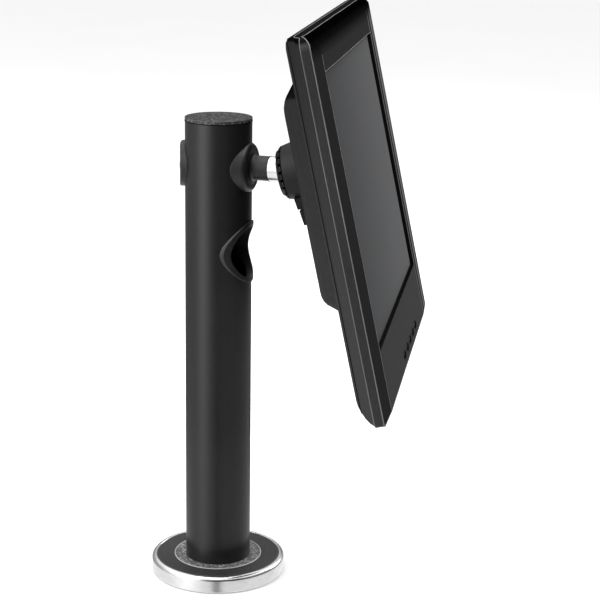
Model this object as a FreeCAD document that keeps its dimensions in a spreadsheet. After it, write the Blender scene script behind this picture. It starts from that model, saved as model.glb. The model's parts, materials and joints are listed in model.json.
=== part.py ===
import FreeCAD, Part
import math
import os
import re

import Sketcher

# A touchscreen display for a sales counter, held by a ball joint on a round pole.
# The origin is on the counter, at the pole's axis. +Z is up and the screen faces -Y.
# Turned and flat parts of the base and pole are drawn in that frame. Parts of the arm use
# the same directions with their origin on the arm's axis. Parts of the head and display use
# the head frame: its origin is the ball's centre, X runs across the screen, Z up the screen,
# and depth is measured along -Y, out of the screen.

DIMENSIONS = {
    # Base
    "base_radius": 61.9,
    "base_height": 15.6,
    "base_lift": 1,
    "trim_inner": 58.5,
    "trim_opening": 57.3,
    "cover_hole": 40.8,
    "cover_thickness": 2,
    "pad_height": 1.5,
    "flange_radius": 58.2,
    "flange_top": 7.5,
    "foot_radius": 40,
    "foot_top": 13,
    "cable_bore": 24,
    "counter_bolt_circle": 48,
    "counter_bolt_hole": 3.3,
    "counterbore_radius": 6.2,
    "foot_screw_circle": 34,
    "foot_screw_radius": 3,
    "seat_top": 15.2,
    # Pole
    "pole_radius": 30,
    "pole_wall": 3,
    "pole_top": 429.7,
    "cap_thickness": 3,
    "cap_depth": 14,
    "port_height": 310,
    "port_radius": 28,
    "port_lip": 3.8,
    "port_proud": 1.6,
    "port_liner": 1.5,
    # Arm
    "arm_height": 386.2,
    "rear_saddle_radius": 20.6,
    "rear_saddle_proud": 4.4,
    "boss_radius": 21.8,
    "boss_front": 33.4,
    "stub_radius": 11.1,
    "stub_end": 48.5,
    "bolt_radius": 5,
    "bolt_head_radius": 9.5,
    # Ball stud and head
    "ball_reach": 73,
    "ball_radius": 13,
    "collar_radius": 11.3,
    "collar_end": 60.5,
    "neck_radius": 7.5,
    "pan_rest": 8,
    "tilt_rest": 12.2,
    "liner_outer": 15,
    "cup_outer": 17,
    "ring_back": 14.4,
    "ring_front": 9.8,
    "ring_radius": 24,
    "ring_opening": 18.6,
    "sleeve_radius": 20,
    "head_front": 15.9,
    "tongue_end": 32,
    "plate_half": 58,
    "plate_thickness": 3,
    "vesa_half": 50,
    "vesa_hole": 2.25,
    # Display
    "display_half_width": 193,
    "display_top": 127.2,
    "display_bottom": 184.5,
    "back_half_width": 174,
    "back_top": 124.6,
    "back_bottom": 171.5,
    "hump_depth": 18.9,
    "back_depth": 43,
    "seam_depth": 57.5,
    "rim_depth": 64.8,
    "front_depth": 66.5,
    "shell_wall": 2.5,
    "screen_half_width": 152.5,
    "screen_half_height": 114.25,
    "screen_drop": 19.3,
    "screen_recess": 3.4,
    "glass_thickness": 3,
    "glass_border": 3.2,
    "gasket_thickness": 0.5,
    "key_pitch": 25,
    "key_drop": 175,
    "key_half_length": 7.5,
    "key_half_height": 3.2,
    "key_travel": 0.8,
    # Fits
    "slip": 0.05,
    "gap": 0.3,
}

WORD = re.compile(r"\b(?!deg\b)([a-z][a-z_0-9]*)\b(?!\s*\()")

doc = FreeCAD.newDocument("CounterDisplay")
dims = doc.addObject("Spreadsheet::Sheet", "Dim")
nodes = []


def fill_sheet():
    """One row for each driving dimension: its name and its plain number."""
    for row, (name, number) in enumerate(DIMENSIONS.items(), 1):
        dims.set(f"A{row}", name)
        dims.set(f"B{row}", str(number))
        dims.setAlias(f"B{row}", name)
    doc.recompute()


def value(formula):
    """The number that a formula of sheet names gives."""
    return float(dims.evalExpression(str(formula)))


def bound(formula):
    """The same formula as an expression that other objects can follow."""
    return WORD.sub(r"Dim.\1", str(formula))


# Frames


def world_frame():
    return FreeCAD.Placement()


def arm_frame():
    """On the arm's axis, square to the pole."""
    return FreeCAD.Placement(FreeCAD.Vector(0, 0, value("arm_height")), FreeCAD.Rotation())


def ball_frame(pan, tilt):
    """At the ball's centre, panned about the vertical and then tilted back."""
    centre = FreeCAD.Vector(0, -value("ball_reach"), value("arm_height"))
    turn_about_z = FreeCAD.Rotation(FreeCAD.Vector(0, 0, 1), pan)
    tilt_back = FreeCAD.Rotation(FreeCAD.Vector(1, 0, 0), -tilt)
    return FreeCAD.Placement(centre, turn_about_z.multiply(tilt_back))


def swivel_frame():
    return ball_frame(value("pan_rest"), 0)


def head_frame():
    return ball_frame(value("pan_rest"), value("tilt_rest"))


# Bodies, sketches and features


def new_body(label, frame=world_frame):
    """A body for one kind of piece. Loose pieces of one kind may share it."""
    body = doc.addObject("PartDesign::Body", label)
    body.Label = label
    body.AllowCompound = True
    body.Placement = frame()
    nodes.append(body)
    return body


def new_sketch(body, role, lift=0):
    """A sketch on one of the body's own planes, lifted along the plane's normal."""
    plane = next(item for item in body.Origin.OriginFeatures if item.Role == role)
    sketch = body.newObject("Sketcher::SketchObject", body.Name + "_sketch")
    sketch.AttachmentSupport = [(plane, "")]
    sketch.MapMode = "FlatFace"
    sketch.setExpression(".AttachmentOffset.Base.z", bound(lift))
    return sketch


def pin_point(sketch, geometry, position, x, y):
    """Ties one point of the sketch to two formulas."""
    for kind, formula in (("DistanceX", x), ("DistanceY", y)):
        index = sketch.addConstraint(
            Sketcher.Constraint(kind, -1, 1, geometry, position, value(formula))
        )
        sketch.setExpression(f"Constraints[{index}]", bound(formula))


def add_outline(sketch, points):
    """A closed outline through points given as pairs of formulas."""
    places = [FreeCAD.Vector(value(x), value(y), 0) for x, y in points]
    first = sketch.GeometryCount
    count = len(points)
    for i in range(count):
        sketch.addGeometry(Part.LineSegment(places[i], places[(i + 1) % count]), False)
    for i, (x, y) in enumerate(points):
        after = first + (i + 1) % count
        sketch.addConstraint(Sketcher.Constraint("Coincident", first + i, 2, after, 1))
        pin_point(sketch, first + i, 1, x, y)


def add_circle(sketch, x, y, radius):
    centre = FreeCAD.Vector(value(x), value(y), 0)
    circle = Part.Circle(centre, FreeCAD.Vector(0, 0, 1), value(radius))
    index = sketch.addGeometry(circle, False)
    pin_point(sketch, index, 3, x, y)
    size = sketch.addConstraint(Sketcher.Constraint("Radius", index, value(radius)))
    sketch.setExpression(f"Constraints[{size}]", bound(radius))


def add_rounded(sketch, box, low_radius, high_radius):
    """A rectangle with round corners, from its corner points."""
    (left, bottom), (right, top) = box[0], box[2]
    low, high = low_radius, high_radius
    turns = [
        (f"{right} - {low}", f"{bottom} + {low}", low, -90),
        (f"{right} - {high}", f"{top} - ({high})", high, 0),
        (f"{left} + {high}", f"{top} - ({high})", high, 90),
        (f"{left} + {low}", f"{bottom} + {low}", low, 180),
    ]
    arcs = []
    for x, y, radius, start in turns:
        centre = FreeCAD.Vector(value(x), value(y), 0)
        circle = Part.Circle(centre, FreeCAD.Vector(0, 0, 1), value(radius))
        span = (math.radians(start), math.radians(start + 90))
        index = sketch.addGeometry(Part.ArcOfCircle(circle, *span), False)
        arcs.append(index)
    for index, following in zip(arcs, arcs[1:] + arcs[:1]):
        end = sketch.getPoint(index, 2)
        start = sketch.getPoint(following, 1)
        line = sketch.addGeometry(Part.LineSegment(end, start), False)
        sketch.addConstraint(Sketcher.Constraint("Tangent", index, 2, line, 1))
        sketch.addConstraint(Sketcher.Constraint("Tangent", line, 2, following, 1))
    for index, (x, y, radius, _) in zip(arcs, turns):
        pin_point(sketch, index, 3, x, y)
        size = sketch.addConstraint(Sketcher.Constraint("Radius", index, value(radius)))
        sketch.setExpression(f"Constraints[{size}]", bound(radius))


def outline(body, role, points, lift=0):
    sketch = new_sketch(body, role, lift)
    add_outline(sketch, points)
    return sketch


def rounded(body, role, box, low_radius, high_radius, lift=0):
    sketch = new_sketch(body, role, lift)
    add_rounded(sketch, box, low_radius, high_radius)
    return sketch


def circles(body, role, places, radius, lift=0):
    """Equal circles at places given as pairs of formulas."""
    sketch = new_sketch(body, role, lift)
    for x, y in places:
        add_circle(sketch, x, y, radius)
    return sketch


def corners(left, right, bottom, top):
    return [(left, bottom), (right, bottom), (right, top), (left, top)]


def add_feature(body, kind, sketch):
    feature = body.newObject("PartDesign::" + kind, body.Name + "_" + kind.lower())
    feature.Profile = sketch
    sketch.Visibility = False
    return feature


def pad(body, sketch, length, both_ways=False):
    """Material along the sketch's normal, or half each way."""
    feature = add_feature(body, "Pad", sketch)
    feature.setExpression("Length", bound(length))
    if both_ways:
        feature.SideType = "Symmetric"
    doc.recompute()
    return feature


def cut(body, sketch, length=None):
    """Removes material along the sketch's normal, or all of it both ways."""
    before = body.Shape.Volume
    feature = add_feature(body, "Pocket", sketch)
    if length is None:
        feature.Type = "ThroughAll"
        feature.SideType = "Symmetric"
    else:
        feature.Reversed = True
        feature.setExpression("Length", bound(length))
    doc.recompute()
    if body.Shape.Volume > before - 0.001:
        raise RuntimeError(f"a pocket of {body.Label} removes nothing")
    return feature


def turn(body, points, kind="Revolution"):
    """A turned shape about the plane's vertical axis, from (radius, height) pairs."""
    sketch = outline(body, "XZ_Plane", points)
    return turn_sketch(body, sketch, kind)


def turn_sketch(body, sketch, kind="Revolution"):
    before = body.Shape.Volume if body.Tip else 0
    feature = add_feature(body, kind, sketch)
    feature.ReferenceAxis = (sketch, ["V_Axis"])
    feature.Angle = 360
    doc.recompute()
    if kind == "Groove" and body.Shape.Volume > before - 0.001:
        raise RuntimeError(f"a groove of {body.Label} removes nothing")
    return feature


def spin(body, points, kind="Revolution"):
    """A turned shape about the frame's depth axis, from (radius, depth) pairs."""
    forward = [(radius, f"-({depth})") for radius, depth in points]
    return turn_sketch(body, outline(body, "XY_Plane", forward), kind)


def ball(body, radius):
    """A sphere about the frame's origin."""
    feature = body.newObject("PartDesign::AdditiveSphere", body.Name + "_ball")
    feature.setExpression("Radius", bound(radius))
    doc.recompute()
    return feature


def loft(body, sketches, kind="AdditiveLoft"):
    feature = add_feature(body, kind, sketches[0])
    feature.Sections = sketches[1:]
    feature.Ruled = True
    doc.recompute()
    return feature


def round_edges(body, radius, wanted, kind="Fillet"):
    """Rounds the edges that the test picks, by each edge's box."""
    feature = body.newObject("PartDesign::" + kind, body.Name + "_edges")
    base = feature.BaseFeature if feature.BaseFeature else body.Tip
    edges = base.Shape.Edges
    picked = [f"Edge{i}" for i, edge in enumerate(edges, 1) if wanted(edge)]
    if not picked:
        raise RuntimeError(f"{body.Label} has no edge to round")
    feature.Base = (base, picked)
    feature.setExpression("Radius" if kind == "Fillet" else "Size", bound(radius))
    doc.recompute()
    return feature


def near(a, b, slack=0.02):
    return abs(a - b) < slack


def is_ring(radius, along, place):
    """A test for a circle about an axis: 'z' for upright, 'y' for depth."""

    def wanted(edge):
        if edge.Degenerated:
            return False
        curve = edge.Curve
        if curve.TypeId != "Part::GeomCircle" or not near(curve.Radius, value(radius)):
            return False
        centre = curve.Center
        where = centre.z if along == "z" else -centre.y
        return near(where, value(place))

    return wanted


def along_depth(edge):
    """A test for straight edges that run along the frame's depth."""
    box = edge.BoundBox
    return box.XLength < 0.01 and box.ZLength < 0.01 and box.YLength > 0.5


def ring_places(circle, count, start_angle=0):
    """Places evenly round a circle, as formulas."""
    step = 360 / count
    angles = [start_angle + i * step for i in range(count)]
    return [(f"{circle} * cos({a} deg)", f"{circle} * sin({a} deg)") for a in angles]


def square_places(half, half_up=None):
    """The four corners of a square or rectangle about the origin."""
    up = half_up or half
    return [(f"{sx} * {half}", f"{sy} * {up}") for sx in (-1, 1) for sy in (-1, 1)]


# Base


def make_base_pad():
    body = new_body("base_pad")
    turn(body, [
        ("cable_bore + 2", 0),
        ("flange_radius - 2", 0),
        ("flange_radius - 2", "pad_height"),
        ("cable_bore + 2", "pad_height"),
    ])
    places = ring_places("counter_bolt_circle", 4, 45)
    cut(body, circles(body, "XY_Plane", places, "counter_bolt_hole"))


def make_base_flange():
    body = new_body("base_flange")
    turn(body, [
        ("cable_bore", "pad_height"),
        ("flange_radius", "pad_height"),
        ("flange_radius", "flange_top"),
        ("cable_bore", "flange_top"),
    ])
    counter = ring_places("counter_bolt_circle", 4, 45)
    foot = ring_places("foot_screw_circle", 4)
    cut(body, circles(body, "XY_Plane", counter, "counter_bolt_hole"))
    cut(body, circles(body, "XY_Plane", foot, "foot_screw_radius + slip"))
    cut(body, circles(body, "XY_Plane", counter, "counterbore_radius", "flange_top - 3"), 3)
    heads = circles(body, "XY_Plane", foot, "foot_screw_radius + 2.7", "pad_height")
    cut(body, heads, 3)


def make_foot_screws():
    body = new_body("foot_screws")
    foot = ring_places("foot_screw_circle", 4)
    head_top = "pad_height + 2.9"
    pad(body, circles(body, "XY_Plane", foot, "foot_screw_radius + 2.5", "pad_height"), 2.9)
    shank = circles(body, "XY_Plane", foot, "foot_screw_radius", head_top)
    pad(body, shank, "foot_top - 0.5 - (pad_height + 2.9)")
    sockets = circles(body, "XY_Plane", foot, 1.9, "pad_height")
    cut(body, sockets, 1.8)


def make_trim_ring():
    body = new_body("base_trim_ring")
    turn(body, [
        ("trim_inner", "base_lift"),
        ("base_radius", "base_lift"),
        ("base_radius", "base_height"),
        ("trim_opening", "base_height"),
        ("trim_opening", "flange_top"),
        ("trim_inner", "flange_top"),
    ])
    round_edges(body, 3.4, is_ring("base_radius", "z", "base_height"))
    round_edges(body, 0.6, is_ring("base_radius", "z", "base_lift"))
    round_edges(body, 0.5, is_ring("trim_opening", "z", "base_height"))


def make_cover_disc():
    body = new_body("base_cover_disc")
    outer = "trim_opening - 0.2"
    under = "base_height - cover_thickness"
    turn(body, [
        ("cover_hole", under),
        ("trim_opening - 2.7", under),
        ("trim_opening - 2.7", "flange_top"),
        (outer, "flange_top"),
        (outer, "base_height - 0.2"),
        ("cover_hole", "base_height - 0.2"),
    ])
    round_edges(body, 0.5, is_ring(outer, "z", "base_height - 0.2"))
    round_edges(body, 0.8, is_ring("cover_hole", "z", "base_height - 0.2"))


def make_pole_foot():
    body = new_body("pole_foot")
    turn(body, [
        ("cable_bore", "flange_top"),
        ("foot_radius", "flange_top"),
        ("foot_radius", "foot_top"),
        ("cable_bore", "foot_top"),
    ])
    foot = ring_places("foot_screw_circle", 4)
    holes = circles(body, "XY_Plane", foot, "foot_screw_radius + slip")
    cut(body, holes)


def make_seat_ring():
    body = new_body("pole_seat_ring")
    turn(body, [
        ("pole_radius + 0.15", "foot_top"),
        ("cover_hole - 0.3", "foot_top"),
        ("cover_hole - 0.3", "seat_top + 0.4"),
        ("cover_hole - 1.3", "seat_top + 0.4"),
        ("cover_hole - 1.9", "seat_top - 0.2"),
        ("pole_radius + 1", "seat_top - 0.2"),
        ("pole_radius + 0.15", "seat_top"),
    ])


# Pole


def make_pole_tube():
    body = new_body("pole_tube")
    inner = "pole_radius - pole_wall"
    top = "pole_top - cap_thickness"
    turn(body, [
        (inner, "foot_top"),
        ("pole_radius", "foot_top"),
        ("pole_radius", top),
        (inner, top),
    ])
    round_edges(body, 0.4, is_ring("pole_radius", "z", top))
    cut(body, circles(body, "XZ_Plane", [("0", "arm_height")], "bolt_radius + 0.3"))
    port = circles(body, "XZ_Plane", [("0", "port_height")], port_hole(), "pole_radius / 4")
    cut(body, port, "pole_radius")


def port_hole():
    """The radius of the hole in the pole's wall that the cable grommet fills."""
    return "port_radius - port_lip + port_liner + slip"


def make_pole_cap():
    body = new_body("pole_cap")
    under = "pole_top - cap_thickness"
    plug = "pole_radius - pole_wall - slip"
    turn(body, [
        ("0", f"{under} + 1"),
        ("pole_radius - pole_wall - 2.5", f"{under} + 1"),
        ("pole_radius - pole_wall - 2.5", "pole_top - cap_depth"),
        (plug, "pole_top - cap_depth"),
        (plug, f"{under} + 0.5"),
        ("pole_radius - 0.5", f"{under} + 0.5"),
        ("pole_radius - 0.5", under),
        ("pole_radius + 0.1", under),
        ("pole_radius + 0.1", "pole_top"),
        ("0", "pole_top"),
    ])
    round_edges(body, 0.7, is_ring("pole_radius + 0.1", "z", "pole_top"))


def trim_to_pole(body, radius_outside):
    """Leaves only what lies between the pole's surface and a wider cylinder."""
    sketch = new_sketch(body, "XY_Plane")
    add_circle(sketch, 0, 0, radius_outside)
    add_circle(sketch, 0, 0, f"{radius_outside} + 30")
    cut(body, sketch)


def make_cable_grommet():
    """A lip that wraps the pole round the port, and a liner through its wall."""
    body = new_body("cable_grommet")
    centre = [("0", "port_height")]
    start = "pole_radius / 5"
    pad(body, circles(body, "XZ_Plane", centre, "port_radius", start), "pole_radius")
    cut(body, circles(body, "XY_Plane", [("0", "0")], "pole_radius + slip"))
    liner = circles(body, "XZ_Plane", centre, "port_radius - port_lip + port_liner", start)
    pad(body, liner, "pole_radius")
    cut(body, circles(body, "XY_Plane", [("0", "0")], "pole_radius - pole_wall - 1.5"))
    trim_to_pole(body, "pole_radius + port_proud")
    cut(body, circles(body, "XZ_Plane", centre, "port_radius - port_lip"))


# Arm


def make_rear_saddle():
    body = new_body("rear_saddle", arm_frame)
    pad(body, circles(body, "XZ_Plane", [("0", "0")], "rear_saddle_radius", -45), 40)
    cut(body, circles(body, "XY_Plane", [("0", "0")], "pole_radius"))
    trim_to_pole(body, "pole_radius + rear_saddle_proud")
    spin(body, [
        ("0", "-pole_radius + 2"),
        ("bolt_radius + 0.1", "-pole_radius + 2"),
        ("bolt_radius + 0.1", "-pole_radius + 0.2"),
        ("bolt_head_radius + 0.1", "-pole_radius - 3.6"),
        ("bolt_head_radius + 0.1", "-pole_radius - 8"),
        ("0", "-pole_radius - 8"),
    ], "Groove")


def make_arm_bolt():
    body = new_body("arm_bolt", arm_frame)
    spin(body, [
        ("0", "-pole_radius - 3.6"),
        ("bolt_head_radius", "-pole_radius - 3.6"),
        ("bolt_radius", "-pole_radius + 0.2"),
        ("bolt_radius", "stub_end - 13"),
        ("0", "stub_end - 13"),
    ])
    hexagon = ring_places("3.45", 6)
    sketch = outline(body, "XZ_Plane", hexagon, "-pole_radius - 3.6")
    cut(body, sketch, 4)


def make_arm_boss():
    """A flanged foot that sits on the pole, with a stub for the ball stud."""
    body = new_body("arm_boss", arm_frame)
    spin(body, [
        ("bolt_radius + slip", 15),
        ("boss_radius + 2.2", 15),
        ("boss_radius", "boss_front"),
        ("stub_radius + 3.6", "boss_front - 0.6"),
        ("stub_radius + 1", "boss_front + 0.2"),
        ("stub_radius", "boss_front + 2"),
        ("stub_radius", "stub_end"),
        ("bolt_radius + slip", "stub_end"),
    ])
    round_edges(body, 5.4, is_ring("boss_radius", "y", "boss_front"))
    cut(body, circles(body, "XY_Plane", [("0", "0")], "pole_radius"))


def make_ball_stud():
    body = new_body("ball_stud", arm_frame)
    spin(body, [
        ("0", "stub_end - 11"),
        ("bolt_radius", "stub_end - 11"),
        ("bolt_radius", "stub_end"),
        ("collar_radius", "stub_end"),
        ("collar_radius", "collar_end"),
        ("neck_radius", "collar_end + 2"),
        ("0", "ball_reach"),
    ])
    round_edges(body, 0.5, is_ring("collar_radius", "y", "stub_end"))
    sphere = ball(body, "ball_radius")
    sphere.setExpression(".Placement.Base.y", bound("-ball_reach"))


# Ball joint and head


def shell_zone(label, frame, inner, outer, back, front):
    """A ball-shaped liner: a hollow sphere cut off square behind and in front."""
    body = new_body(label, frame)
    ball(body, outer)
    span = "ball_reach"
    cut(body, outline(body, "XY_Plane", corners(
        f"-{span}", span, back, f"{back} + {span}"
    )))
    cut(body, outline(body, "XY_Plane", corners(
        f"-{span}", span, f"-({front}) - {span}", f"-({front})"
    )))
    hollow = body.newObject("PartDesign::SubtractiveSphere", label + "_hollow")
    hollow.setExpression("Radius", bound(inner))
    doc.recompute()
    return body


def make_ball_liner():
    shell_zone("ball_liner", swivel_frame, "ball_radius + slip", "liner_outer", 7.4, 7)


def make_pressure_cup():
    shell_zone("pressure_cup", head_frame, "liner_outer + slip", "cup_outer", 4.6, 8)


def make_adjusting_ring():
    """The notched ring that a pin spanner turns to set how tightly the ball is held."""
    body = new_body("adjusting_ring", head_frame)
    spin(body, [
        ("ring_opening", "-ring_back"),
        ("ring_opening + 1.4", "-ring_back"),
        ("ring_radius - 3.4", "-ring_back + 1.2"),
        ("ring_radius - 1.2", "-ring_back + 2.9"),
        ("ring_radius", "-ring_front"),
        ("sleeve_radius", "-ring_front"),
        ("sleeve_radius", "-4.75"),
        ("cup_outer - 1.2", "-4.75"),
        ("cup_outer - 1.2", "-5.7"),
        ("sleeve_radius - 2.4", "-7"),
        ("sleeve_radius - 2.4", "-ring_front"),
    ])
    notches = ring_places("ring_radius", 20, 9)
    sketch = circles(body, "XZ_Plane", notches, 1.7, "-ring_back - 1")
    cut(body, sketch, "ring_back - ring_front + 2")


def make_head_housing():
    """The round housing behind the display, with a tongue that carries the release latch."""
    body = new_body("head_housing", head_frame)
    back = "-ring_front + 1"
    spin(body, [
        ("sleeve_radius + slip", back),
        ("ring_radius", back),
        ("ring_radius + 1.8", "-1"),
        ("plate_half / 2", "head_front"),
        ("0", "head_front"),
        ("0", "ball_radius + 0.4"),
        ("ball_radius + 0.6", "ball_radius + 0.4"),
        ("ball_radius + 0.6", "cup_outer - 6.2"),
        ("cup_outer + slip", "cup_outer - 6.2"),
        ("cup_outer + slip", "-4.6"),
        ("sleeve_radius + slip", "-4.6"),
    ])
    tongue = outline(body, "YZ_Plane", [
        ("4.5", "-sleeve_radius - 2"),
        ("3", "-tongue_end"),
        ("-head_front", "-tongue_end"),
        ("-head_front", "-sleeve_radius - 2"),
    ])
    pad(body, tongue, 33, both_ways=True)
    ledge = outline(body, "XZ_Plane", corners(
        -15.5, 15.5, "-tongue_end - 15.5", "-tongue_end + 1"
    ), 8.4)
    pad(body, ledge, "head_front - 8.4")
    round_edges(body, 3, lambda edge: along_depth(edge) and edge.BoundBox.ZMax < -47)
    slot = outline(body, "XZ_Plane", corners(-6.1, 6.1, "-tongue_end - 1", "-25.5"), 3.3)
    cut(body, slot, 4)
    screws = circles(body, "XZ_Plane", square_places("15.5"), "2 + slip", 7)
    cut(body, screws, "head_front - 7")


def make_release_latch():
    """A sprung slider under the tongue. Pushing it up lets the display off the pole."""
    body = new_body("release_latch", head_frame)
    top = "-tongue_end - 1.6"
    button = outline(body, "YZ_Plane", [
        ("2.2", top),
        ("0.4", f"{top} - 13.4"),
        ("-8", f"{top} - 13.4"),
        ("-8", top),
    ])
    pad(body, button, 30, both_ways=True)
    round_edges(body, 1.2, lambda edge: edge.BoundBox.ZMax < -46.9)
    stem = outline(body, "XZ_Plane", corners(-6, 6, f"{top} - 1", "-28"), 3.5)
    pad(body, stem, 3.6)


def make_wave_spring():
    body = new_body("wave_spring", head_frame)
    spin(body, [
        ("ball_radius + 1", 8.05),
        ("cup_outer - 0.2", 8.05),
        ("cup_outer - 0.2", 10.7),
        ("ball_radius + 1", 10.7),
    ])


def make_vesa_plate():
    body = new_body("vesa_plate", head_frame)
    half = "plate_half"
    pad(body, outline(body, "XZ_Plane", corners(
        f"-{half}", half, f"-{half}", half
    ), "head_front"), "plate_thickness")
    round_edges(body, 7, along_depth)
    cut(body, circles(body, "XZ_Plane", square_places("vesa_half"), "vesa_hole"))
    cut(body, circles(body, "XZ_Plane", square_places("vesa_half * 0.75"), "vesa_hole"))
    cut(body, circles(body, "XZ_Plane", square_places("15.5"), "2 + slip"))
    sinks = circles(body, "XZ_Plane", square_places("15.5"), 4, "head_front + 1.2")
    cut(body, sinks, 3)


def screw_group(label, frame, places, head, head_from, head_length, shank, shank_length):
    """Pan-head screws that point forward: a head, then a shank."""
    body = new_body(label, frame)
    pad(body, circles(body, "XZ_Plane", places, head, head_from), head_length)
    shank_from = f"{head_from} + {head_length}"
    pad(body, circles(body, "XZ_Plane", places, shank, shank_from), shank_length)
    cross = new_sketch(body, "XZ_Plane", head_from)
    for x, y in places:
        add_outline(cross, corners(
            f"{x} - {head} / 2", f"{x} + {head} / 2", f"{y} - {head} / 8", f"{y} + {head} / 8"
        ))
    cut(body, cross, f"{head_length} / 2")
    return body


def make_vesa_screws():
    screw_group(
        "vesa_screws", head_frame, square_places("vesa_half"), "3.8", "head_front - 2.2", "2.2",
        "2", "plate_thickness + 7",
    )


def make_housing_screws():
    """Screws from the display's side of the plate back into the housing."""
    body = new_body("housing_screws", head_frame)
    places = square_places("15.5")
    pad(body, circles(body, "XZ_Plane", places, "2", "7.5"), "head_front + 1.3 - 7.5")
    pad(body, circles(body, "XZ_Plane", places, "3.9", "head_front + 1.3"), "1.6")
    recess = circles(body, "XZ_Plane", places, "1.3", "head_front + 1.8")
    cut(body, recess, 3)


# Display


def section(body, depth, side, low, high, low_radius, high_radius, inset="0"):
    """One section of a moulding: its half width and how far it reaches down and up."""
    box = corners(f"-({side} - ({inset}))", f"{side} - ({inset})",
                  f"-({low} - ({inset}))", f"{high} - ({inset})")
    return rounded(body, "XZ_Plane", box, low_radius, high_radius, depth)


def display_outline(inset="0"):
    side = f"display_half_width - ({inset})"
    return corners(f"-({side})", side, f"-display_bottom + {inset}", f"display_top - ({inset})")


def hump_section(body, depth, inset, corner):
    """A section of the hump, which widens towards the screen."""
    taper = f"({depth} - hump_depth) / (back_depth - hump_depth)"
    return section(
        body, depth, f"110 + 15 * {taper}", f"96 + 15 * {taper}", f"71.5 + 29 * {taper}",
        corner - 3, corner, inset,
    )


def hump_shell(body, grow_depth, inset, kind):
    """The hump's outside, or its inside, with a rounded rim round its rear face."""
    rim = 5
    sections = [hump_section(body, f"back_depth + 1 + {grow_depth}", inset, 12)]
    for angle in (90, 60, 30, 0):
        turned = math.radians(angle)
        lift = round(rim * (1 - math.cos(turned)), 3)
        pull = round(rim * (1 - math.sin(turned)), 3)
        depth = f"hump_depth + {lift} + {grow_depth}"
        sections.append(hump_section(body, depth, f"{inset} + {pull}", 8))
    loft(body, sections, kind)


def make_rear_cover():
    """The back of the display in one moulding: a flat tray and a hump for the electronics."""
    body = new_body("rear_cover", head_frame)
    side, low, high = "back_half_width", "back_bottom", "back_top"
    loft(body, [
        section(body, "back_depth", f"{side} - 1.2", f"{low} - 3.5", f"{high} - 2.2", 4, 5),
        section(body, "back_depth + 0.7", f"{side} + 0.4", low, high, 4, 5),
        section(body, "back_depth + 2.6", f"{side} + 2.5", f"{low} + 4.1", f"{high} + 2", 4, 5),
    ])
    hump_shell(body, 0, "0", "AdditiveLoft")
    hump_shell(body, "shell_wall", "shell_wall", "SubtractiveLoft")
    inserts = circles(body, "XZ_Plane", square_places("vesa_half"), "5", "hump_depth + 1")
    pad(body, inserts, 9)
    cut(body, circles(body, "XZ_Plane", square_places("vesa_half"), "2 + slip", "hump_depth - 1"), 9.5)
    slots = new_sketch(body, "XZ_Plane", "hump_depth - 1")
    for i in range(13):
        left = -96 + i * 15
        add_outline(slots, corners(left, left + 9, 75, 78))
        add_outline(slots, corners(left, left + 9, 83, 86))
    cut(body, slots, "back_depth - hump_depth")
    panel = outline(body, "XZ_Plane", corners(-62, 62, -110, -98.5), "hump_depth - 1")
    cut(body, panel, "back_depth - hump_depth - 3")
    holes = circles(body, "XZ_Plane", shell_screw_places(), "1.5 + slip")
    cut(body, holes)


def shell_screw_places():
    side = "back_half_width - 14"
    upper = "back_top - 9"
    lower = "-back_bottom + 14"
    return [(f"{s} * ({side})", v) for s in (-1, 1) for v in (upper, lower)]


def make_mid_frame():
    """The side band between the rear cover and the bezel, flaring outwards to the front."""
    body = new_body("mid_frame", head_frame)
    start = "back_depth + 2.9"
    side, low, high = "back_half_width", "back_bottom", "back_top"
    stations = [
        ("back_depth + 2.9", f"{side} + 2.8", f"{low} + 4.5", f"{high} + 2.2", 4, 5),
        ("back_depth + 5.5", f"{side} + 6", f"{low} + 8.6", f"{high} + 3.4", 4, 6),
        ("back_depth + 9.5", f"{side} + 11.5", f"{low} + 11.6", f"{high} + 3.9", 4, 8),
        ("seam_depth - 0.25", "display_half_width - 0.6", "display_bottom - 0.3",
         "display_top - 0.2", 4, 10.5),
    ]
    loft(body, [section(body, *station) for station in stations])
    inside = [("back_depth + 2", *stations[0][1:]), *stations[1:3],
              ("seam_depth + 1", *stations[3][1:])]
    hollow = []
    for depth, wide, down, up, low_radius, high_radius in inside:
        radii = (low_radius - 2, high_radius - 2)
        hollow.append(section(body, depth, wide, down, up, *radii, "shell_wall"))
    loft(body, hollow, "SubtractiveLoft")
    bosses = circles(body, "XZ_Plane", shell_screw_places(), "4", start)
    pad(body, bosses, "seam_depth - back_depth - 4")
    for side in (-1, 1):
        inner = f"{side} * (back_half_width - 11)"
        outer = f"{side} * (back_half_width + 2)"
        left, right = (outer, inner) if side < 0 else (inner, outer)
        for v in ("back_top - 9", "-back_bottom + 14"):
            rib = outline(body, "XZ_Plane", corners(left, right, f"{v} - 1", f"{v} + 1"), start)
            pad(body, rib, 4)
    holes = circles(body, "XZ_Plane", shell_screw_places(), "1.5 + slip")
    cut(body, holes)


def make_shell_screws():
    screw_group(
        "shell_screws", head_frame, shell_screw_places(), "2.8", "back_depth - 1.8", "1.8",
        "1.5", "12",
    )


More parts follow.
